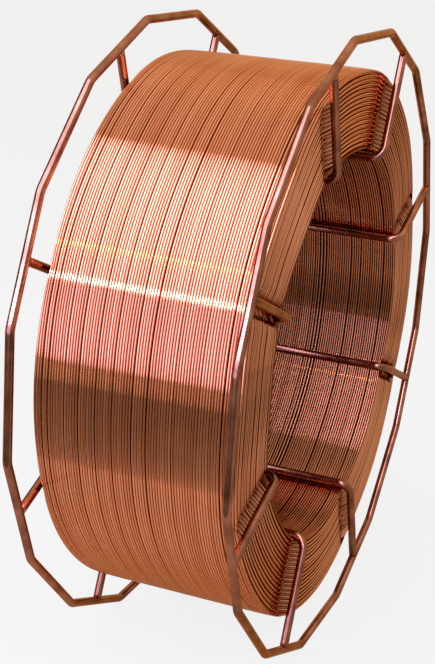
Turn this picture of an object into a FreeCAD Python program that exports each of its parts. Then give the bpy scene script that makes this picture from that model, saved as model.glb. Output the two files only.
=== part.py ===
import FreeCAD, Part
import math
import os

import Sketcher

# Wire basket spool with its coil of welding wire. Millimetres, +Z up.
# The spool's axis is +Y, the origin is the spool's centre, and the spool stands on a
# straight side of both rims. It is made of two bent rims, eight U-shaped bars whose legs
# are butt-welded to the inside of the rims, and the wound coil that the bars carry.

SIZES = [
    ("rim_diameter", 300.0, "rim, over its rounded corners"),
    ("basket_width", 102.0, "over both rims"),
    ("hub_diameter", 180.0, "clear between opposite bars"),
    ("rim_wire", 4.0, "diameter of the rims' wire"),
    ("bar_wire", 4.0, "diameter of the bars' wire"),
    ("rim_corner_radius", 10.0, "bend at a rim's corner, at the wire's centre"),
    ("bar_corner_radius", 6.5, "bend at a bar's corner, at the wire's centre"),
    ("weld_set_down", 0.8, "how far a leg's end is upset onto the rim"),
    ("coil_diameter", 262.0, "over the outer layer of turns"),
    ("coil_end_clearance", 0.5, "from a coil end to the legs"),
    ("coil_seat_clearance", 0.2, "from the coil's bore to the bars"),
    ("layer_pitch", 1.03, "from one layer of the 1.2 mm wire to the next"),
    ("turn_groove_width", 1.1, "groove on a coil end, between the turns that stand out"),
    ("turn_groove_depth", 0.6, "depth of that groove"),
]
RIM_SIDES = 16
BARS = 8

# Where things are, as formulas over the sheet's cells.
HALF_CORNER = f"({180 / RIM_SIDES} * 1deg)"
RIM_PLANE = "(Sizes.basket_width / 2 - Sizes.rim_wire / 2)"
RIM_CORNER = ("(Sizes.rim_diameter / 2 - Sizes.rim_wire / 2"
              f" + Sizes.rim_corner_radius * (1 / cos{HALF_CORNER} - 1))")
RIM_APOTHEM = f"({RIM_CORNER} * cos{HALF_CORNER})"
BAR_RADIUS = "(Sizes.hub_diameter / 2 + Sizes.bar_wire / 2)"
LEG_END = f"({RIM_APOTHEM} - Sizes.rim_wire / 2 + Sizes.weld_set_down)"
COIL_RADIUS = "(Sizes.coil_diameter / 2)"
COIL_BORE = "(Sizes.hub_diameter / 2 + Sizes.bar_wire + Sizes.coil_seat_clearance)"
COIL_HALF_WIDTH = f"({RIM_PLANE} - Sizes.bar_wire / 2 - Sizes.coil_end_clearance)"
COIL_EDGE = "(Sizes.bar_corner_radius - Sizes.bar_wire / 2 - Sizes.coil_end_clearance)"

doc = FreeCAD.newDocument("wire_spool")
sheet = doc.addObject("Spreadsheet::Sheet", "Sizes")


def fill_sheet():
    """One row a size: what it is, and its value in a cell with an alias."""
    for row, (alias, value, meaning) in enumerate(SIZES, start=1):
        sheet.set(f"A{row}", meaning)
        sheet.set(f"B{row}", str(value))
        sheet.setAlias(f"B{row}", alias)
    doc.recompute()


def value_of(expression):
    """What a formula over the sheet comes to, to draw a sketch near its solution."""
    return float(sheet.evalExpression(expression))


def new_body(label):
    body = doc.addObject("PartDesign::Body", label)
    body.Label = label
    return body


def new_sketch(body, plane_role, name):
    """A sketch on one of the body's own origin planes."""
    sketch = body.newObject("Sketcher::SketchObject", name)
    plane = next(item for item in body.Origin.OriginFeatures if item.Role == plane_role)
    sketch.AttachmentSupport = [(plane, "")]
    sketch.MapMode = "FlatFace"
    return sketch


def dimension(sketch, kind, elements, expression, name):
    """A named dimension whose value is a formula over the sheet."""
    constraint = Sketcher.Constraint(kind, *elements, value_of(expression))
    index = sketch.addConstraint(constraint)
    sketch.renameConstraint(index, name)
    sketch.setExpression(f"Constraints.{name}", expression)


def point(x, y):
    return FreeCAD.Vector(x, y, 0)


def polar(radius, degrees):
    turn = math.radians(degrees)
    return point(radius * math.cos(turn), radius * math.sin(turn))


def arc(centre, radius, start, end):
    """An arc of a sketch, counter-clockwise between two directions in degrees."""
    circle = Part.Circle(centre, FreeCAD.Vector(0, 0, 1), radius)
    return Part.ArcOfCircle(circle, math.radians(start), math.radians(end))


START, END, CENTRE = 1, 2, 3
ORIGIN = (-1, 1)
X_AXIS = -1
Y_AXIS = -2


def join(sketch, first, second):
    """The end of one line or arc runs smoothly into the start of the next."""
    sketch.addConstraint(Sketcher.Constraint("Tangent", first, END, second, START))


def rim_path(body):
    """The rim's centre line: straight sides joined by tangent arcs, in the XZ plane.

    The first side faces +X. The path starts and ends at that side's middle, where the
    rim's wire is closed by a butt weld.
    """
    sketch = new_sketch(body, "XZ_Plane", "rim_path")
    step = 360 / RIM_SIDES
    apothem = value_of(RIM_APOTHEM)
    radius = value_of("Sizes.rim_corner_radius")
    half_side = (apothem - radius) * math.tan(math.radians(step / 2))
    centre_distance = (apothem - radius) / math.cos(math.radians(step / 2))

    def side_line(side, start, end):
        middle = polar(apothem, side * step)
        along = polar(1, side * step + 90)
        return Part.LineSegment(middle + along * start, middle + along * end)

    lines = [sketch.addGeometry(side_line(0, 0, half_side))]
    corners = []
    for side in range(RIM_SIDES):
        centre = polar(centre_distance, (side + 0.5) * step)
        corners.append(sketch.addGeometry(arc(centre, radius, side * step, (side + 1) * step)))
        join(sketch, lines[-1], corners[-1])
        last = side == RIM_SIDES - 1
        lines.append(sketch.addGeometry(side_line(side + 1, -half_side, 0 if last else half_side)))
        join(sketch, corners[-1], lines[-1])
    sketch.addConstraint(Sketcher.Constraint("Vertical", lines[0]))
    sketch.addConstraint(Sketcher.Constraint("PointOnObject", lines[0], START, X_AXIS))
    dimension(sketch, "DistanceX", [*ORIGIN, lines[0], START], RIM_APOTHEM, "first_side")
    dimension(sketch, "Radius", [corners[0]], "Sizes.rim_corner_radius", "corner_radius")
    for corner in corners[1:]:
        sketch.addConstraint(Sketcher.Constraint("Equal", corners[0], corner))
    for index, corner in enumerate(corners[:-1]):
        dimension(sketch, "Distance", [*ORIGIN, lines[index + 1]], RIM_APOTHEM, f"side_{index + 1}")
    return sketch


def wire_profile(body, name, wire_cell, across, away):
    """A round wire's section, square to a path that starts parallel to Z."""
    sketch = new_sketch(body, "XY_Plane", name)
    sketch.setExpression("AttachmentOffset.Base.z", away)
    circle = Part.Circle(point(*[value_of(term) for term in across]), FreeCAD.Vector(0, 0, 1), 1)
    section = sketch.addGeometry(circle)
    dimension(sketch, "Diameter", [section], wire_cell, "wire")
    return sketch, section


def make_rim(label, side_of_spool):
    """One rim, a wire bent to a polygon, moved along Y to its end of the spool."""
    body = new_body(label)
    path = rim_path(body)
    profile, section = wire_profile(body, "rim_section", "Sizes.rim_wire", [RIM_APOTHEM, "0"], "0")
    profile.addConstraint(Sketcher.Constraint("PointOnObject", section, CENTRE, X_AXIS))
    dimension(profile, "DistanceX", [*ORIGIN, section, CENTRE], RIM_APOTHEM, "apothem")
    sweep = body.newObject("PartDesign::AdditivePipe", "rim_wire")
    sweep.Profile = profile
    sweep.Spine = path
    body.setExpression("Placement.Base.y", f"{side_of_spool} * {RIM_PLANE}")
    return body


def bar_path(body):
    """A bar's centre line in the YZ plane: a leg, the bar through the coil, a leg."""
    sketch = new_sketch(body, "YZ_Plane", "bar_path")
    half = value_of(RIM_PLANE)
    low = value_of(BAR_RADIUS)
    top = value_of(LEG_END)
    bend = value_of("Sizes.bar_corner_radius")
    left_leg = sketch.addGeometry(Part.LineSegment(point(-half, top), point(-half, low + bend)))
    left_bend = sketch.addGeometry(arc(point(-half + bend, low + bend), bend, 180, 270))
    middle = sketch.addGeometry(Part.LineSegment(point(-half + bend, low), point(half - bend, low)))
    right_bend = sketch.addGeometry(arc(point(half - bend, low + bend), bend, 270, 360))
    right_leg = sketch.addGeometry(Part.LineSegment(point(half, low + bend), point(half, top)))
    # Both bends are arcs tangent to the runs beside them.
    join(sketch, left_leg, left_bend)
    join(sketch, left_bend, middle)
    join(sketch, middle, right_bend)
    join(sketch, right_bend, right_leg)
    sketch.addConstraint(Sketcher.Constraint("Vertical", left_leg))
    sketch.addConstraint(Sketcher.Constraint("Vertical", right_leg))
    sketch.addConstraint(Sketcher.Constraint("Equal", left_bend, right_bend))
    dimension(sketch, "Radius", [right_bend], "Sizes.bar_corner_radius", "bend")
    dimension(sketch, "DistanceX", [left_leg, START, *ORIGIN], RIM_PLANE, "left_leg")
    dimension(sketch, "DistanceX", [*ORIGIN, right_leg, END], RIM_PLANE, "right_leg")
    dimension(sketch, "DistanceY", [*ORIGIN, left_leg, START], LEG_END, "left_leg_end")
    dimension(sketch, "DistanceY", [*ORIGIN, right_leg, END], LEG_END, "right_leg_end")
    dimension(sketch, "DistanceY", [*ORIGIN, middle, START], BAR_RADIUS, "bar_radius")
    return sketch


def cope_legs(body):
    """The saddles in the leg ends, where the rims' wire is welded into them."""
    sketch = new_sketch(body, "YZ_Plane", "rim_places")
    for name, direction in (("left", -1), ("right", 1)):
        centre = point(direction * value_of(RIM_PLANE), value_of(RIM_APOTHEM))
        place = sketch.addGeometry(Part.Circle(centre, FreeCAD.Vector(0, 0, 1), 1))
        dimension(sketch, "Diameter", [place], "Sizes.rim_wire", f"{name}_wire")
        ends = [*ORIGIN, place, CENTRE] if direction > 0 else [place, CENTRE, *ORIGIN]
        dimension(sketch, "DistanceX", ends, RIM_PLANE, f"{name}_plane")
        dimension(sketch, "DistanceY", [*ORIGIN, place, CENTRE], RIM_APOTHEM, f"{name}_apothem")
    pocket = body.newObject("PartDesign::Pocket", "leg_saddles")
    pocket.Profile = sketch
    pocket.Type = "ThroughAll"
    pocket.SideType = "Symmetric"


def make_bar(number):
    """One U-shaped bar, drawn at the top of the spool and turned about Y to its place."""
    body = new_body(f"bar_{number}")
    path = bar_path(body)
    profile, section = wire_profile(body, "bar_section", "Sizes.bar_wire", ["0", f"-{RIM_PLANE}"], LEG_END)
    profile.addConstraint(Sketcher.Constraint("PointOnObject", section, CENTRE, Y_AXIS))
    dimension(profile, "DistanceY", [section, CENTRE, *ORIGIN], RIM_PLANE, "rim_plane")
    sweep = body.newObject("PartDesign::AdditivePipe", "bar_wire")
    sweep.Profile = profile
    sweep.Spine = path
    cope_legs(body)
    degrees = (number - 0.5) * 360 / BARS
    body.Placement = FreeCAD.Placement(FreeCAD.Vector(), FreeCAD.Rotation(FreeCAD.Vector(0, 1, 0), degrees))
    return body


def coil_section(body):
    """The coil's plain section in the XY plane, to be turned about Y."""
    sketch = new_sketch(body, "XY_Plane", "coil_section")
    inner = value_of(COIL_BORE)
    outer = value_of(COIL_RADIUS)
    half = value_of(COIL_HALF_WIDTH)
    corners = [point(inner, -half), point(outer, -half), point(outer, half), point(inner, half)]
    sides = [sketch.addGeometry(Part.LineSegment(corners[i], corners[(i + 1) % 4])) for i in range(4)]
    for index, side in enumerate(sides):
        sketch.addConstraint(Sketcher.Constraint("Coincident", side, END, sides[(index + 1) % 4], START))
        direction = "Vertical" if index % 2 else "Horizontal"
        sketch.addConstraint(Sketcher.Constraint(direction, side))
    dimension(sketch, "DistanceX", [*ORIGIN, sides[0], START], COIL_BORE, "bore")
    dimension(sketch, "DistanceX", [*ORIGIN, sides[0], END], COIL_RADIUS, "outside")
    dimension(sketch, "DistanceY", [sides[0], START, *ORIGIN], COIL_HALF_WIDTH, "left_end")
    dimension(sketch, "DistanceY", [*ORIGIN, sides[2], START], COIL_HALF_WIDTH, "right_end")
    return sketch


def groove_sections(body, name, end):
    """V grooves round one coil end: end is 1 at the right and -1 at the left.

    Every second layer ends half a turn short, and there the end has a groove. Each V is
    drawn twice as tall as the groove is deep, with its upper half off the coil. The layers
    that end in the bore's rounded edge get none.
    """
    sketch = new_sketch(body, "XY_Plane", name)
    pitch = value_of("Sizes.layer_pitch")
    first_layer = math.ceil(value_of(COIL_EDGE) / pitch) + 1
    layers = int((value_of(COIL_RADIUS) - value_of(COIL_BORE)) / pitch)
    depth = value_of("Sizes.turn_groove_depth")
    width = value_of("Sizes.turn_groove_width")
    face = end * value_of(COIL_HALF_WIDTH)
    base = face + end * depth
    tip_place = f"({COIL_HALF_WIDTH} - Sizes.turn_groove_depth)"
    base_place = f"({COIL_HALF_WIDTH} + Sizes.turn_groove_depth)"
    for layer in range(first_layer, layers, 2):
        radius_formula = f"{COIL_BORE} + {layer} * Sizes.layer_pitch"
        radius = value_of(radius_formula)
        tip = point(radius, face - end * depth)
        inner = point(radius - width, base)
        outer = point(radius + width, base)
        inner_side = sketch.addGeometry(Part.LineSegment(tip, inner))
        base_side = sketch.addGeometry(Part.LineSegment(inner, outer))
        outer_side = sketch.addGeometry(Part.LineSegment(outer, tip))
        sketch.addConstraint(Sketcher.Constraint("Coincident", inner_side, END, base_side, START))
        sketch.addConstraint(Sketcher.Constraint("Coincident", base_side, END, outer_side, START))
        sketch.addConstraint(Sketcher.Constraint("Coincident", outer_side, END, inner_side, START))
        sketch.addConstraint(Sketcher.Constraint("Horizontal", base_side))
        tip_ends = [*ORIGIN, inner_side, START] if end > 0 else [inner_side, START, *ORIGIN]
        base_ends = [*ORIGIN, base_side, START] if end > 0 else [base_side, START, *ORIGIN]
        dimension(sketch, "DistanceX", [*ORIGIN, inner_side, START], radius_formula, f"radius_{layer}")
        dimension(sketch, "DistanceY", tip_ends, tip_place, f"tip_{layer}")
        dimension(sketch, "DistanceY", base_ends, base_place, f"base_{layer}")
        dimension(sketch, "DistanceX", [inner_side, END, inner_side, START],
                  "Sizes.turn_groove_width", f"inner_{layer}")
        dimension(sketch, "DistanceX", [inner_side, START, outer_side, START],
                  "Sizes.turn_groove_width", f"outer_{layer}")
    return sketch


def round_bore_ends(body, turned):
    """Round the bore's two edges, which lie in the bends of the bars."""
    doc.recompute()
    bore = value_of(COIL_BORE)
    edges = []
    for number, edge in enumerate(turned.Shape.Edges, start=1):
        if edge.Curve.TypeId == "Part::GeomCircle" and abs(edge.Curve.Radius - bore) < 0.001:
            edges.append(f"Edge{number}")
    fillet = body.newObject("PartDesign::Fillet", "bore_edges")
    fillet.Base = (turned, edges)
    fillet.setExpression("Radius", COIL_EDGE)


def make_coil():
    """The wound wire: one turned ring with its bore, and its turns cut into both ends."""
    body = new_body("wire_coil")
    section = coil_section(body)
    turned = body.newObject("PartDesign::Revolution", "coil_ring")
    turned.Profile = section
    turned.ReferenceAxis = (section, ["V_Axis"])
    turned.Angle = 360
    round_bore_ends(body, turned)
    for name, end in (("right_turns", 1), ("left_turns", -1)):
        sketch = groove_sections(body, name, end)
        groove = body.newObject("PartDesign::Groove", f"{name}_grooves")
        groove.Profile = sketch
        groove.ReferenceAxis = (sketch, ["V_Axis"])
        groove.Angle = 360
    return body


def check_model(bodies):
    """Stop if any feature failed or any piece has no sound solid."""
    for item in doc.Objects:
        if "Invalid" in item.State or "Error" in item.State:
            raise RuntimeError(f"{item.Label} failed: {item.State}")
    for body in bodies:
        if body.Shape.isNull() or not body.Shape.isValid() or len(body.Shape.Solids) != 1:
            raise RuntimeError(f"{body.Label} has no single valid solid")


def write_steps(bodies):
    os.makedirs("parts", exist_ok=True)
    for body in bodies:
        body.Shape.exportStep(os.path.join("parts", f"{body.Label}.step"))
        print(f"{body.Label}: {body.Shape.Volume / 1000:.2f} cm3")


fill_sheet()
pieces = [make_rim("rim_right", 1), make_rim("rim_left", -1)]
pieces += [make_bar(number) for number in range(1, BARS + 1)]
pieces.append(make_coil())
doc.recompute()
check_model(pieces)
write_steps(pieces)
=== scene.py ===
"""Looks of a wire basket spool wound with copper-coated welding wire.

The spool's axis is +Y and it stands on a straight side of both rims. Angles go round the
axis from +Z towards +X. Lengths are in metres.
"""
import math

import bpy
import numpy as np
from mathutils import Matrix, Vector


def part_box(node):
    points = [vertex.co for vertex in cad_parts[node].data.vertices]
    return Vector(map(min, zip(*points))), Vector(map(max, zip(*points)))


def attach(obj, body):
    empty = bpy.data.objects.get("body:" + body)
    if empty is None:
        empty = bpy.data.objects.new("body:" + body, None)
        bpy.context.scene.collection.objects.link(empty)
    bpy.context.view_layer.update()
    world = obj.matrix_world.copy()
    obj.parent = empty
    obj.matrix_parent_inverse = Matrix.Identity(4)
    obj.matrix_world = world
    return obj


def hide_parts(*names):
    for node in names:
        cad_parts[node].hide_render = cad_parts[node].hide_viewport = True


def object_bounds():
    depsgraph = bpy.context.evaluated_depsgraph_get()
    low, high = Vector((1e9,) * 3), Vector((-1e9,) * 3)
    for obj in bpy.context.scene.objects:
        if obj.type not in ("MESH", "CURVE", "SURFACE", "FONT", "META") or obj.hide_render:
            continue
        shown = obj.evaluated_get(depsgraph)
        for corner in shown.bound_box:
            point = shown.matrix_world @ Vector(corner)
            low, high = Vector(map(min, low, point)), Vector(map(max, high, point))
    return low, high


MM = 0.001
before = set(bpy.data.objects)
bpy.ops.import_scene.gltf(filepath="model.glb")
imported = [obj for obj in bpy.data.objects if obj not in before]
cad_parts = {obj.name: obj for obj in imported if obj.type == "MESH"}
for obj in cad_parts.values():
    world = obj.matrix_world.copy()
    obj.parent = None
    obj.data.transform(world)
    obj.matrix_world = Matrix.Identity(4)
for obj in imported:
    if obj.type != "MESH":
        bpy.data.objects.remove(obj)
cad_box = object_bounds()
rng = np.random.default_rng(12)

# ---------------------------------------------------------------- sizes, from the frame

rim_low, rim_high = (np.array(corner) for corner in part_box("rim_right"))
bar_low, bar_high = (np.array(corner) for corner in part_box("bar_1"))
coil_high = np.array(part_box("wire_coil")[1])

RIM_SIDES = 16
BARS = 8
SECTOR = 2 * math.pi / BARS
RIM_WIRE = float(rim_high[1] - rim_low[1]) / 2      # radius of the rims' wire
RIM_PLANE = float(rim_high[1] + rim_low[1]) / 2     # Y of the right rim's centre line
RIM_APOTHEM = float(rim_high[2]) - RIM_WIRE         # from the axis to a side's centre line
BAR_WIRE = float(bar_high[1]) - RIM_PLANE           # radius of the bars' wire
BAR_RADIUS = (float(bar_low[2]) + BAR_WIRE) / math.cos(SECTOR / 2)  # from the axis to its centre
RIM_BEND = 10.0 * MM                                # bends at the rims' corners, to the centre line
BAR_BEND = 6.5 * MM                                 # bends between a bar and its legs, likewise
SET_DOWN = 0.8 * MM                                 # how far a leg's end is welded into the rim

COIL_RADIUS = float(coil_high[2])
COIL_HALF = float(coil_high[1])                     # half the coil's width
COIL_SEAT = 0.2 * MM                                # clearance between the bars and the coil
COIL_BORE = BAR_RADIUS + BAR_WIRE + COIL_SEAT
WIRE = 0.6 * MM                                     # radius of the welding wire
LAYER = 1.03 * MM                                   # from one layer to the next
TURNS = 72                                          # turns in one layer
SLACK = 0.9 * MM                                    # how much flatter the turns run between bars
AROUND = 20                                         # points round the basket's wire
AROUND_COIL = 160                                   # points round the coil's two layers
CREASED = 0.9                                       # rows at least this shaded lie in a groove
EDGE_TINT = (1.0, 0.6, 0.4, 1.0)                    # copper stays warm where it is seen edge on
LAMP_COLOR = (0.95, 1.0, 2.0)                       # bluish: copper mirrors it pinkish white


def bar_angle(index):
    return (index + 0.5) * SECTOR


# ---------------------------------------------------------------- mesh helpers


def add_piece(name, vertices, quads, material, replaced, triangles=()):
    """A smooth mesh piece that rides on the spool's only body and stands for a CAD node."""
    quads = np.asarray(quads, dtype=np.int32)
    triangles = np.asarray(triangles, dtype=np.int32)
    corners = np.concatenate([quads.ravel(), triangles.ravel()])
    starts = np.concatenate([np.arange(0, quads.size, 4), quads.size + np.arange(0, triangles.size, 3)])
    mesh = bpy.data.meshes.new(name)
    mesh.vertices.add(len(vertices))
    mesh.vertices.foreach_set("co", np.asarray(vertices, dtype=np.float32).ravel())
    mesh.loops.add(len(corners))
    mesh.loops.foreach_set("vertex_index", corners)
    mesh.polygons.add(len(starts))
    mesh.polygons.foreach_set("loop_start", starts.astype(np.int32))
    mesh.update(calc_edges=True)
    mesh.validate()
    mesh.shade_smooth()
    mesh.materials.append(material)
    piece = bpy.data.objects.new(name, mesh)
    bpy.context.scene.collection.objects.link(piece)
    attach(piece, "root")
    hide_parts(replaced)
    return piece


def closed_grid(rows, columns):
    """Quads of a grid whose rows and columns both close into loops."""
    row = np.arange(rows)[:, None]
    column = np.arange(columns)[None, :]
    next_row = (row + 1) % rows
    next_column = (column + 1) % columns
    quads = np.stack([row * columns + column, row * columns + next_column,
                      next_row * columns + next_column, next_row * columns + column], axis=-1)
    return quads.reshape(-1, 4)


def set_points(piece, name, values):
    """A number for each point of a piece, which its material reads by name."""
    attribute = piece.data.attributes.new(name, "FLOAT", "POINT")
    attribute.data.foreach_set("value", np.asarray(values, dtype=np.float32).ravel())


def crease_rows(piece, columns, rows):
    """Sharp edges along some rows of a grid mesh, such as the bottoms of its grooves."""
    edges = piece.data.edges
    ends = np.empty(len(edges) * 2, dtype=np.int32)
    edges.foreach_get("vertices", ends)
    row_of = ends.reshape(-1, 2) // columns
    creased = np.isin(row_of[:, 0], rows) & (row_of[:, 0] == row_of[:, 1])
    edges.foreach_set("use_edge_sharp", creased)


# ---------------------------------------------------------------- materials


def new_material(name):
    material = bpy.data.materials.new(name)
    material.use_nodes = True
    tree = material.node_tree
    return material, tree, tree.nodes["Principled BSDF"]


def add_node(tree, kind, **settings):
    item = tree.nodes.new(kind)
    for key, value in settings.items():
        setattr(item, key, value)
    return item


def math_node(tree, operation, first, second=None):
    item = add_node(tree, "ShaderNodeMath", operation=operation)
    for socket, value in zip(item.inputs, (first, second)):
        if isinstance(value, (int, float)):
            socket.default_value = value
        elif value is not None:
            tree.links.new(value, socket)
    return item.outputs[0]


def round_axis(tree):
    """Radius, angle and Y of the point shaded, about the spool's axis."""
    place = add_node(tree, "ShaderNodeTexCoord")
    parts = add_node(tree, "ShaderNodeSeparateXYZ")
    tree.links.new(place.outputs["Object"], parts.inputs[0])
    x, y, z = parts.outputs
    radius = math_node(tree, "SQRT", math_node(tree, "ADD", math_node(tree, "MULTIPLY", x, x),
                                               math_node(tree, "MULTIPLY", z, z)))
    return radius, math_node(tree, "ARCTAN2", x, z), y


def noise(tree, vector_parts, scale, detail=2.0):
    """Noise over a vector joined from three values, each with its own stretch."""
    join = add_node(tree, "ShaderNodeCombineXYZ")
    for socket, (value, stretch) in zip(join.inputs, vector_parts):
        tree.links.new(math_node(tree, "MULTIPLY", value, stretch), socket)
    texture = add_node(tree, "ShaderNodeTexNoise")
    texture.inputs["Scale"].default_value = scale
    texture.inputs["Detail"].default_value = detail
    tree.links.new(join.outputs[0], texture.inputs["Vector"])
    return texture.outputs["Fac"]


def ramp(tree, value, stops):
    """A colour picked by value from stops of (position, colour)."""
    item = add_node(tree, "ShaderNodeValToRGB")
    elements = item.color_ramp.elements
    while len(elements) < len(stops):
        elements.new(0.5)
    for element, (place, color) in zip(elements, stops):
        element.position = place
        element.color = (*color, 1.0)
    tree.links.new(value, item.inputs[0])
    return item.outputs["Color"]


def mix(tree, factor, first, second, blend="MIX"):
    """The second colour over the first. Each input is a value or a socket."""
    item = add_node(tree, "ShaderNodeMix", data_type="RGBA", blend_type=blend)
    for socket, value in ((item.inputs[0], factor), (item.inputs[6], first), (item.inputs[7], second)):
        if isinstance(value, tuple):
            socket.default_value = (*value, 1.0)
        elif isinstance(value, (int, float)):
            socket.default_value = value
        else:
            tree.links.new(value, socket)
    return item.outputs[2]


def coil_material(name, across, painted_shade=0.0):
    """Bright copper-coated wire, with shade painted into its colour: darker and redder where the turns
    shade each other.

    across says what changes from turn to turn: 'y' or 'radius'. The third argument paints shade over the
    whole surface.
    """
    material, tree, shader = new_material(name)
    radius, angle, y = round_axis(tree)
    step = y if across == "y" else radius
    other = radius if across == "y" else y
    turns = noise(tree, ((step, 780.0), (angle, 0.35), (other, 60.0)), 1.0, 1.0)
    patches = noise(tree, ((step, 40.0), (angle, 2.5), (other, 30.0)), 1.0, 3.0)
    drawn = noise(tree, ((step, 5200.0), (angle, 1.5), (other, 40.0)), 1.0, 1.0)
    tone = ramp(tree, turns, [(0.3, (0.68, 0.24, 0.105)),
                              (0.5, (0.8, 0.3, 0.135)),
                              (0.7, (0.88, 0.38, 0.18))])
    duller = ramp(tree, patches, [(0.45, (0, 0, 0)), (0.75, (0.3, 0.3, 0.3))])
    tone = mix(tree, duller, tone, (0.62, 0.2, 0.085))
    # painted shade: the shade attribute and the third argument darken the colour towards a deep red-brown
    shade = add_node(tree, "ShaderNodeAttribute", attribute_name="shade")
    depth = math_node(tree, "ADD", shade.outputs["Fac"], painted_shade)
    shade_amount = ramp(tree, depth, [(0.0, (0, 0, 0)), (0.45, (0.3, 0.3, 0.3)), (1.0, (1, 1, 1))])
    tree.links.new(mix(tree, shade_amount, tone, (0.09, 0.016, 0.006)), shader.inputs["Base Color"])
    rough = add_node(tree, "ShaderNodeMapRange")
    rough.inputs["To Min"].default_value = 0.03
    rough.inputs["To Max"].default_value = 0.1
    tree.links.new(patches, rough.inputs["Value"])
    tree.links.new(rough.outputs[0], shader.inputs["Roughness"])
    shader.inputs["Metallic"].default_value = 1.0
    shader.inputs["Specular Tint"].default_value = EDGE_TINT
    bump = add_node(tree, "ShaderNodeBump")
    bump.inputs["Strength"].default_value = 0.08
    bump.inputs["Distance"].default_value = 0.00002
    tree.links.new(drawn, bump.inputs["Height"])
    tree.links.new(bump.outputs[0], shader.inputs["Normal"])
    return material


def basket_material(name):
    """Copper-washed drawn wire, dulled brown, with grey tint where welding heated it."""
    material, tree, shader = new_material(name)
    radius, angle, y = round_axis(tree)
    blotch = noise(tree, ((radius, 90.0), (angle, 12.0), (y, 90.0)), 1.0, 4.0)
    fine = noise(tree, ((radius, 1800.0), (angle, 60.0), (y, 1800.0)), 1.0, 3.0)
    tone = ramp(tree, blotch, [(0.3, (0.18, 0.068, 0.036)),
                               (0.5, (0.34, 0.125, 0.066)),
                               (0.72, (0.5, 0.2, 0.11))])
    heat = add_node(tree, "ShaderNodeAttribute", attribute_name="heat")
    reach = math_node(tree, "ADD", heat.outputs["Fac"],
                      math_node(tree, "MULTIPLY", math_node(tree, "SUBTRACT", fine, 0.5), 0.25))
    tint = ramp(tree, reach, [(0.0, (0, 0, 0)),
                              (0.25, (0.15, 0.15, 0.15)),
                              (0.4, (0.8, 0.8, 0.8)),
                              (1.0, (1, 1, 1))])
    burnt = ramp(tree, reach, [(0.2, (0.5, 0.33, 0.24)),
                               (0.45, (0.24, 0.22, 0.23)),
                               (0.85, (0.1, 0.09, 0.09))])
    tree.links.new(mix(tree, tint, tone, burnt), shader.inputs["Base Color"])
    rough = add_node(tree, "ShaderNodeMapRange")
    rough.inputs["To Min"].default_value = 0.1
    rough.inputs["To Max"].default_value = 0.22
    tree.links.new(blotch, rough.inputs["Value"])
    oxide = math_node(tree, "MULTIPLY", tint, 0.42)
    tree.links.new(math_node(tree, "MAXIMUM", rough.outputs[0], oxide), shader.inputs["Roughness"])
    shader.inputs["Metallic"].default_value = 1.0
    shader.inputs["Specular Tint"].default_value = EDGE_TINT
    bump = add_node(tree, "ShaderNodeBump")
    bump.inputs["Strength"].default_value = 0.25
    bump.inputs["Distance"].default_value = 0.00006
    tree.links.new(fine, bump.inputs["Height"])
    tree.links.new(bump.outputs[0], shader.inputs["Normal"])
    return material


# ---------------------------------------------------------------- the coil


def bar_distance(angles):
    """Angle to the nearest bar."""
    return np.abs((angles % SECTOR) - SECTOR / 2)


def flatten(angles, radii):
    """The turns run a little flatter between the bars than a circle."""
    middle = 0.5 + 0.5 * np.cos(angles * BARS)
    return radii - SLACK * middle


def end_dip(angles, radii, depth):
    """How far a layer's last turn lies in from the coil's end: behind each leg it dips."""
    away = bar_distance(angles) * radii
    narrow = np.exp(-(away / (4.5 * MM)) ** 2)
    wide = 0.5 + 0.5 * np.cos(bar_distance(angles) / (SECTOR / 2) * math.pi)
    return depth * narrow + 0.9 * MM * wide


def near_end(y, reach):
    """1 at the coil's ends, falling off inwards."""
    return np.exp(-(COIL_HALF - np.abs(y)) / reach)


def turn_places(count, gaps, seed):
    """Where the turns of one layer lie along the axis: touching, but for some gaps."""
    draw = np.random.default_rng(seed)
    steps = np.full(count - 1, 2 * WIRE)
    spare = 2 * (COIL_HALF - WIRE) - steps.sum()
    shares = draw.uniform(0.04, 0.2, count - 1)
    for place in draw.choice(count - 1, gaps, replace=False):
        shares[place] += draw.uniform(0.3, 2.0)
    steps += spare * shares / shares.sum()
    return -(COIL_HALF - WIRE) + np.concatenate([[0], np.cumsum(steps)])


def layer_profile(places, base, outward, arc_points):
    """Profile rows (radius, y, turn, shade) of one layer of turns seen from outside or inside.

    A row between two turns lies in their groove, deeper where they stand apart. The first
    and last turns go on round to their undersides, and two rows out of sight close the ring.
    Slopes are in degrees from the side the turns are seen from. shade is painted shade: some on the
    turns' flanks, full in the grooves and on the rows out of sight.
    """
    rows = []
    last = len(places) - 1
    for turn, place in enumerate(places):
        slopes = list(np.linspace(-80, 80, arc_points))
        if turn == 0:
            slopes = [-145, -112] + slopes
        if turn == last:
            slopes = slopes + [112, 145]
        for slope in slopes:
            tilt = math.radians(slope)
            # painted shade on the flanks, where the neighbouring turns shade them
            shade = 0.55 * min(max((abs(slope) - 30) / 50, 0), 1)
            radius = base - outward * WIRE * (1 - math.cos(tilt))
            rows.append((radius, place + WIRE * math.sin(tilt), turn, shade))
        if turn < last:
            gap = places[turn + 1] - place - 2 * WIRE
            depth = WIRE * 0.95 + min(gap * 1.6, 0.6 * MM)
            # painted shade, full at the groove's bottom
            rows.append((base - outward * depth, (place + places[turn + 1]) / 2, turn, 1.0))
    back = base - outward * 2.2 * MM
    rows.append((back, places[-1] - 5 * MM, last, 1.0))
    rows.append((back, places[0] + 5 * MM, 0, 1.0))
    return np.array(rows)


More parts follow.
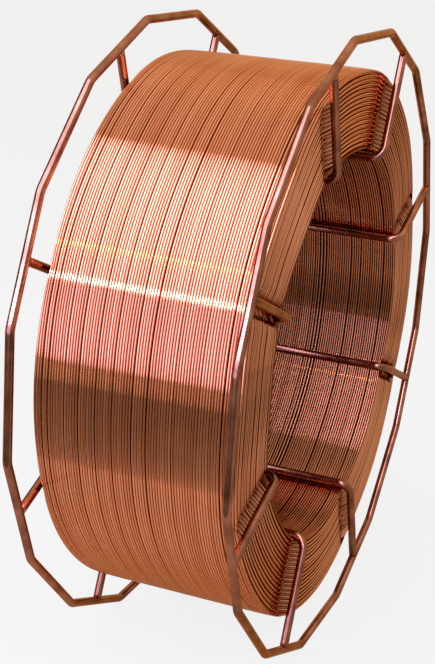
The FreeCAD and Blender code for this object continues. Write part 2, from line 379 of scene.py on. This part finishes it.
def ring_piece(name, rows, angles, material, displace):
    """A closed ring swept round the axis from a closed profile of (radius, y, tag, shade) rows."""
    radii, y, tags, shade = (np.repeat(column[:, None], len(angles), axis=1) for column in rows.T)
    turns = np.repeat(angles[None, :], len(rows), axis=0)
    radii, y, shade = displace(radii, y, turns, tags, shade)
    vertices = np.stack([radii * np.sin(turns), y, radii * np.cos(turns)], axis=-1).reshape(-1, 3)
    piece = add_piece(name, vertices, closed_grid(len(rows), len(angles)), material, "wire_coil")
    set_points(piece, "shade", shade)
    crease_rows(piece, len(angles), np.flatnonzero(rows[:, 3] >= CREASED))
    return piece


def wander(angles, tags, seed, size):
    """Each turn strays a little from its place as it goes round."""
    draw = np.random.default_rng(seed)
    count = int(tags.max()) + 1
    total = np.zeros_like(angles)
    index = tags.astype(int)
    for wave in (1, 2, 3, 5):
        phase = draw.uniform(0, 2 * math.pi, count)
        height = draw.normal(0, size / wave, count)
        total += height[index] * np.sin(wave * angles + phase[index])
    return total


def even_angles(count):
    return np.linspace(0, 2 * math.pi, count, endpoint=False)


def leg_angles():
    """Angles round the axis, close together where the turns dip behind the legs."""
    half = [0, 0.5, 1.0, 1.6, 2.2, 2.9, 3.7, 4.7, 6.0, 7.8, 10.0, 12.5, 15.5, 19.0]
    offsets = sorted([-value for value in half[1:]] + half + [22.5])
    degrees = [360 / BARS * (bar + 0.5) + offset for bar in range(BARS) for offset in offsets]
    return np.radians(np.array(degrees))


def make_outer_layer(material):
    rows = layer_profile(turn_places(TURNS, gaps=13, seed=4), COIL_RADIUS, 1, 7)

    def displace(radii, y, angles, tags, shade):
        dip = end_dip(angles, radii, 0.4 * MM) * near_end(y, 3.5 * MM)
        lower = 0.4 * MM * near_end(y, 4 * MM)
        moved = flatten(angles, radii) - lower + wander(angles, tags, 5, 0.03 * MM)
        return moved, y - np.sign(y) * dip + wander(angles, tags, 6, 0.02 * MM), shade

    return ring_piece("coil_outer_layer", rows, even_angles(AROUND_COIL), material, displace)


def make_bore_layer(material):
    rows = layer_profile(turn_places(TURNS, gaps=10, seed=9), COIL_BORE, -1, 6)
    rows = rows[::-1]                               # so that the faces look towards the axis

    def displace(radii, y, angles, tags, shade):
        dip = end_dip(angles, radii, 0.8 * MM) * near_end(y, 3.5 * MM)
        moved = flatten(angles, radii) + wander(angles, tags, 15, 0.02 * MM)
        return moved, y - np.sign(y) * dip + wander(angles, tags, 16, 0.02 * MM), shade

    return ring_piece("coil_bore_layer", rows, even_angles(AROUND_COIL), material, displace)


def make_end_face(name, side, material, seed):
    """The last turn of every layer on one end; every second layer ends half a turn short."""
    draw = np.random.default_rng(seed)
    layers = int((COIL_RADIUS - COIL_BORE) / LAYER)
    first = COIL_BORE + (COIL_RADIUS - COIL_BORE - (layers - 1) * LAYER) / 2
    short = np.arange(layers) % 2
    recess = short * WIRE + draw.normal(0, 0.08 * MM, layers)
    depth = np.where(short == 0, 3.6, 2.6) * MM + draw.normal(0, 0.3 * MM, layers)
    rows = []
    for layer in range(1, layers - 1):
        centre = first + layer * LAYER
        for across in (-0.5, -0.36, -0.18, 0, 0.18, 0.36, 0.5):
            height = math.sqrt(WIRE ** 2 - (across * LAYER) ** 2) - WIRE
            edge = 1.0 if abs(across) == 0.5 else 0.0
            y = COIL_HALF - recess[layer] + height - edge * 0.25 * MM
            # painted shade: darker in the grooves between layers and on the layers that sit back
            shade = max(edge, 0.35 * short[layer] + 1.4 * abs(across) ** 2)
            rows.append((centre + across * LAYER, y, layer, shade))
    back = COIL_HALF - 7 * MM
    rows.append((first + (layers - 1.5) * LAYER, back, layers - 2, 1.0))
    rows.append((first + 0.5 * LAYER, back, 1, 1.0))
    rows = np.array(rows)

    def displace(radii, y, angles, tags, shade):
        index = tags.astype(int)
        front = np.where(y > back + MM, 1.0, 0.0)
        dip = end_dip(angles, radii, depth[index])
        stray = wander(angles, tags, seed + 1, 0.05 * MM)
        # painted shade in the dips behind the legs, more where the turns dip further
        sunk = np.clip(dip / (4 * MM), 0, 1)
        return flatten(angles, radii), side * (y - front * (dip + stray)), shade + 0.5 * sunk

    if side > 0:
        rows = rows[::-1]                           # so that the faces look out of the coil
    return ring_piece(name, rows, leg_angles(), material, displace)


# ---------------------------------------------------------------- the basket


def unit(vectors):
    """Each row at length 1."""
    return vectors / np.linalg.norm(vectors, axis=1)[:, None]


def tube(name, path, material, replaced, closed=False):
    """A round wire along a path that lies in a plane. Rims and bars are of one wire."""
    path = np.asarray(path, dtype=float)
    ahead = np.roll(path, -1, axis=0) - path
    behind = path - np.roll(path, 1, axis=0)
    if not closed:
        ahead[-1] = behind[-1]
        behind[0] = ahead[0]
    along = unit(unit(ahead) + unit(behind))
    flat = np.cross(path[1] - path[0], path[len(path) // 3] - path[0])
    flat /= np.linalg.norm(flat)
    sideways = np.cross(flat, along)
    spin = np.linspace(0, 2 * math.pi, AROUND, endpoint=False)
    ring = np.cos(spin)[None, :, None] * sideways[:, None, :] + np.sin(spin)[None, :, None] * flat
    vertices = (path[:, None, :] + RIM_WIRE * ring).reshape(-1, 3)
    quads = closed_grid(len(path), AROUND)
    if closed:
        return add_piece(name, vertices, quads, material, replaced)
    start, end = len(vertices), len(vertices) + 1
    last = (len(path) - 1) * AROUND
    caps = []
    for step in range(AROUND):
        following = (step + 1) % AROUND
        caps.append([following, step, start])
        caps.append([last + step, last + following, end])
    vertices = np.vstack([vertices, path[0], path[-1]])
    return add_piece(name, vertices, quads[:last], material, replaced, caps)


def around_axis(angle, radius, y):
    return np.array([radius * math.sin(angle), y, radius * math.cos(angle)])


def rim_points(y):
    """The rim's centre line with its distance, in angle, from the axis: sides, then corners."""
    step = 2 * math.pi / RIM_SIDES
    half_side = (RIM_APOTHEM - RIM_BEND) * math.tan(step / 2)
    centre_radius = (RIM_APOTHEM - RIM_BEND) / math.cos(step / 2)
    points = []
    for side in range(RIM_SIDES):
        angle = side * step
        middle = around_axis(angle, RIM_APOTHEM, y)
        along = np.array([math.cos(angle), 0, -math.sin(angle)])
        for share in np.linspace(-1, 1, 13)[:-1]:
            points.append(middle + along * half_side * share)
        centre = around_axis(angle + step / 2, centre_radius, y)
        for share in np.linspace(0, 1, 7)[:-1]:
            points.append(centre + around_axis(angle + step * share, RIM_BEND, 0))
    return np.array(points)


def make_rim(name, y, joint_angle, material):
    """One rim; its wire is closed by a butt weld in the middle of the side at joint_angle."""
    path = rim_points(y)
    joint = around_axis(joint_angle, RIM_APOTHEM, y)
    piece = tube(f"{name}_wire", path, material, name, closed=True)
    vertices = np.repeat(path, AROUND, axis=0)
    heat = np.zeros(len(vertices))
    for bar in range(BARS):
        weld = around_axis(bar_angle(bar), RIM_APOTHEM, y)
        heat += 0.9 * np.exp(-(np.linalg.norm(vertices - weld, axis=1) / (4 * MM)) ** 2)
    heat += 0.8 * np.exp(-(np.linalg.norm(vertices - joint, axis=1) / (8 * MM)) ** 4)
    set_points(piece, "heat", heat)
    return piece


def bar_points():
    """A bar's centre line as (y, radius): leg, bend, bar, bend, leg."""
    leg_end = RIM_APOTHEM - RIM_WIRE + SET_DOWN
    points = [(-RIM_PLANE, radius) for radius in np.linspace(leg_end, BAR_RADIUS + BAR_BEND, 22)[:-1]]
    for turn in np.linspace(0, math.pi / 2, 10)[:-1]:
        points.append((-RIM_PLANE + BAR_BEND * (1 - math.cos(turn)),
                       BAR_RADIUS + BAR_BEND * (1 - math.sin(turn))))
    half = [(y, BAR_RADIUS) for y in np.linspace(-RIM_PLANE + BAR_BEND, 0, 12)[:-1]]
    points += half
    mirrored = [(-y, radius) for y, radius in reversed(points)]
    return points + [(0.0, BAR_RADIUS)] + mirrored


def make_bar(index, material):
    """One bar with its legs, heated at the legs' ends, some millimetres up from the rims."""
    angle = bar_angle(index)
    path = np.array([around_axis(angle, radius, y) for y, radius in bar_points()])
    from_end = np.minimum(np.linalg.norm(path - path[0], axis=1), np.linalg.norm(path - path[-1], axis=1))
    name = f"bar_{index + 1}"
    piece = tube(f"{name}_wire", path, material, name)
    reach = np.concatenate([np.repeat(from_end, AROUND), [0, 0]])
    heat = 1.0 / (1.0 + np.exp((reach - rng.uniform(7, 10) * MM) / (1.0 * MM)))
    heat = heat * 0.55 + 0.45 * np.exp(-(reach / (1.6 * MM)) ** 2)
    set_points(piece, "heat", heat)
    return piece


# ---------------------------------------------------------------- stage, light, camera


def make_floor(level):
    """A pale floor that shows white to the camera and in the metal, and keeps the shadow."""
    bpy.ops.mesh.primitive_plane_add(size=60, location=(0, 0, level))
    floor = bpy.context.object
    floor.name = "floor"
    material = bpy.data.materials.new("floor_pale")
    material.use_nodes = True
    tree = material.node_tree
    shader = tree.nodes["Principled BSDF"]
    shader.inputs["Base Color"].default_value = (0.38, 0.34, 0.22, 1)
    shader.inputs["Roughness"].default_value = 0.9
    shader.inputs["Specular IOR Level"].default_value = 0.0
    glow = add_node(tree, "ShaderNodeEmission")
    glow.inputs["Strength"].default_value = 1.0
    path = add_node(tree, "ShaderNodeLightPath")
    share_in_metal = 0.3
    mirrored = math_node(tree, "MULTIPLY", path.outputs["Is Glossy Ray"], share_in_metal)
    seen = math_node(tree, "MAXIMUM", path.outputs["Is Camera Ray"], mirrored)
    blend = add_node(tree, "ShaderNodeMixShader")
    glow_share = 0.85                               # the rest shows the shadow
    tree.links.new(math_node(tree, "MULTIPLY", seen, glow_share), blend.inputs[0])
    tree.links.new(shader.outputs[0], blend.inputs[1])
    tree.links.new(glow.outputs[0], blend.inputs[2])
    tree.links.new(blend.outputs[0], tree.nodes["Material Output"].inputs["Surface"])
    floor.data.materials.append(material)


def make_world():
    """White where it is seen, at full strength, and a weaker light on the rest."""
    world = bpy.data.worlds.new("studio")
    bpy.context.scene.world = world
    world.use_nodes = True
    tree = world.node_tree
    background = tree.nodes["Background"]
    path = add_node(tree, "ShaderNodeLightPath")
    seen = math_node(tree, "MAXIMUM", path.outputs["Is Camera Ray"], path.outputs["Is Glossy Ray"])
    seen = math_node(tree, "MAXIMUM", seen, path.outputs["Is Transmission Ray"])
    strength = math_node(tree, "ADD", math_node(tree, "MULTIPLY", seen, 0.6), 0.4)
    tree.links.new(strength, background.inputs["Strength"])
    background.inputs["Color"].default_value = (1, 1, 1, 1)


def glow_material(name, radiance, color):
    material = bpy.data.materials.new(name)
    material.use_nodes = True
    tree = material.node_tree
    glow = add_node(tree, "ShaderNodeEmission")
    glow.inputs["Strength"].default_value = radiance
    glow.inputs["Color"].default_value = (*color, 1)
    tree.links.new(glow.outputs[0], tree.nodes["Material Output"].inputs["Surface"])
    return material


def only_in_metal(card):
    """A stage piece that shapes the metal's reflections, lights nothing and isn't seen itself."""
    card.visible_camera = False
    card.visible_diffuse = False
    card.visible_shadow = False


def add_card(name, size, place, facing, radiance, color=(1, 1, 1)):
    """A studio card, as wide and tall as size says, that faces along facing."""
    bpy.ops.mesh.primitive_plane_add(size=1, location=place)
    card = bpy.context.object
    card.name = name
    card.scale = (size[0], size[1], 1)
    card.rotation_euler = Vector(facing).to_track_quat("Z", "Y").to_euler()
    card.data.materials.append(glow_material(name, radiance, color))
    only_in_metal(card)


def make_studio(level):
    """Grey walls round the spool and a dark cloth in front of it, as its metal mirrors them."""
    add_card("ceiling_card", (6, 6), (0, 0, 2.4), (0, 0, -1), 0.95)
    add_card("back_card", (6, 4), (-2.6, 0, 0.9), (1, 0, 0), 0.75)
    add_card("front_card", (6, 4), (2.6, 0, 0.9), (-1, 0, 0), 0.6)
    add_card("left_card", (6, 4), (0, -2.6, 0.9), (0, 1, 0), 0.2)
    add_card("right_card", (6, 4), (0, 2.6, 0.9), (0, -1, 0), 0.66)
    add_card("front_fill", (1.6, 0.55), (1.0, -0.35, 0.145), (-1, 0, 0), 2.5, LAMP_COLOR)
    add_card("dark_cloth", (0.4, 2.4), (0.43, -0.2, level + 5 * MM), (0, 0, 1), 0.24)


def add_hub_flag():
    """A black disc that only the metal sees, in line with the hub: it keeps the bore dark."""
    bpy.ops.mesh.primitive_circle_add(radius=BAR_RADIUS - 2 * BAR_WIRE, fill_type="NGON",
                                      location=(0, -RIM_PLANE - 8 * MM, 0), rotation=(math.pi / 2, 0, 0))
    flag = bpy.context.object
    flag.name = "hub_flag"
    flag.data.materials.append(glow_material("hub_flag", 0.04, (1, 1, 1)))
    only_in_metal(flag)


def add_softbox(name, angle, distance, y, height, width, radiance, color=(1, 1, 1)):
    """An area lamp on an arc about the spool's axis, facing it. height is across the arc."""
    light = bpy.data.lights.new(name, "AREA")
    light.shape = "RECTANGLE"
    light.size = width
    light.size_y = height
    light.energy = radiance * math.pi * width * height
    light.color = color
    lamp = bpy.data.objects.new(name, light)
    bpy.context.scene.collection.objects.link(lamp)
    turn = math.radians(angle)
    place = Vector((distance * math.sin(turn), y, distance * math.cos(turn)))
    inward = Vector((-math.sin(turn), 0, -math.cos(turn)))
    across = Vector((0, 1, 0))
    up = inward.cross(across)
    lamp.matrix_world = Matrix.Translation(place) @ Matrix((across, up, -inward)).transposed().to_4x4()
    lamp.visible_camera = False
    return lamp


def make_camera():
    """Close to the spool, a little above its axis and to the right of its side."""
    azimuth = math.radians(19.9)
    elevation = math.radians(17.0)
    distance = 683.4 * MM
    aim = Vector((6.1, -13.8, -2.3)) * MM
    camera = bpy.data.objects.new("camera", bpy.data.cameras.new("camera"))
    bpy.context.scene.collection.objects.link(camera)
    camera.location = distance * Vector((math.cos(azimuth) * math.cos(elevation),
                                         math.sin(azimuth) * math.cos(elevation), math.sin(elevation)))
    look = (aim - camera.location).to_track_quat("-Z", "Y").to_matrix()
    roll = Matrix.Rotation(math.radians(3.8), 3, "Z")
    camera.rotation_euler = (look @ roll).to_euler()
    camera.data.lens = 75.9
    camera.data.sensor_width = 36.0
    camera.data.clip_start = 0.05
    bpy.context.scene.camera = camera


coil_side = coil_material("copper_wire_layers", "y")
# the bore's copy has shade painted over all of it, as less light reaches inside
coil_bore = coil_material("copper_wire_bore_painted_shade", "y", 0.35)
coil_end = coil_material("copper_wire_ends", "radius")
basket = basket_material("basket_drawn_wire")

make_outer_layer(coil_side)
make_bore_layer(coil_bore)
make_end_face("coil_right_end", 1, coil_end, 21)
make_end_face("coil_left_end", -1, coil_end, 31)
make_rim("rim_right", RIM_PLANE, math.radians(135), basket)
make_rim("rim_left", -RIM_PLANE, math.radians(135), basket)
for bar in range(BARS):
    make_bar(bar, basket)

make_floor(float(cad_box[0][2]))
make_world()
make_studio(float(cad_box[0][2]))
add_hub_flag()
add_softbox("key_softbox", angle=37, distance=1.0, y=-0.35, height=1.02, width=1.6,
            radiance=3.8, color=LAMP_COLOR)
add_softbox("front_strip", angle=65.2, distance=0.98, y=-0.35, height=0.04, width=1.6,
            radiance=20.0, color=LAMP_COLOR)
add_softbox("warm_line", angle=50.5, distance=0.98, y=-0.35, height=0.012, width=1.6,
            radiance=12.0, color=(1.0, 0.9, 0.12))
make_camera()

scene = bpy.context.scene
scene.view_settings.view_transform = "Standard"
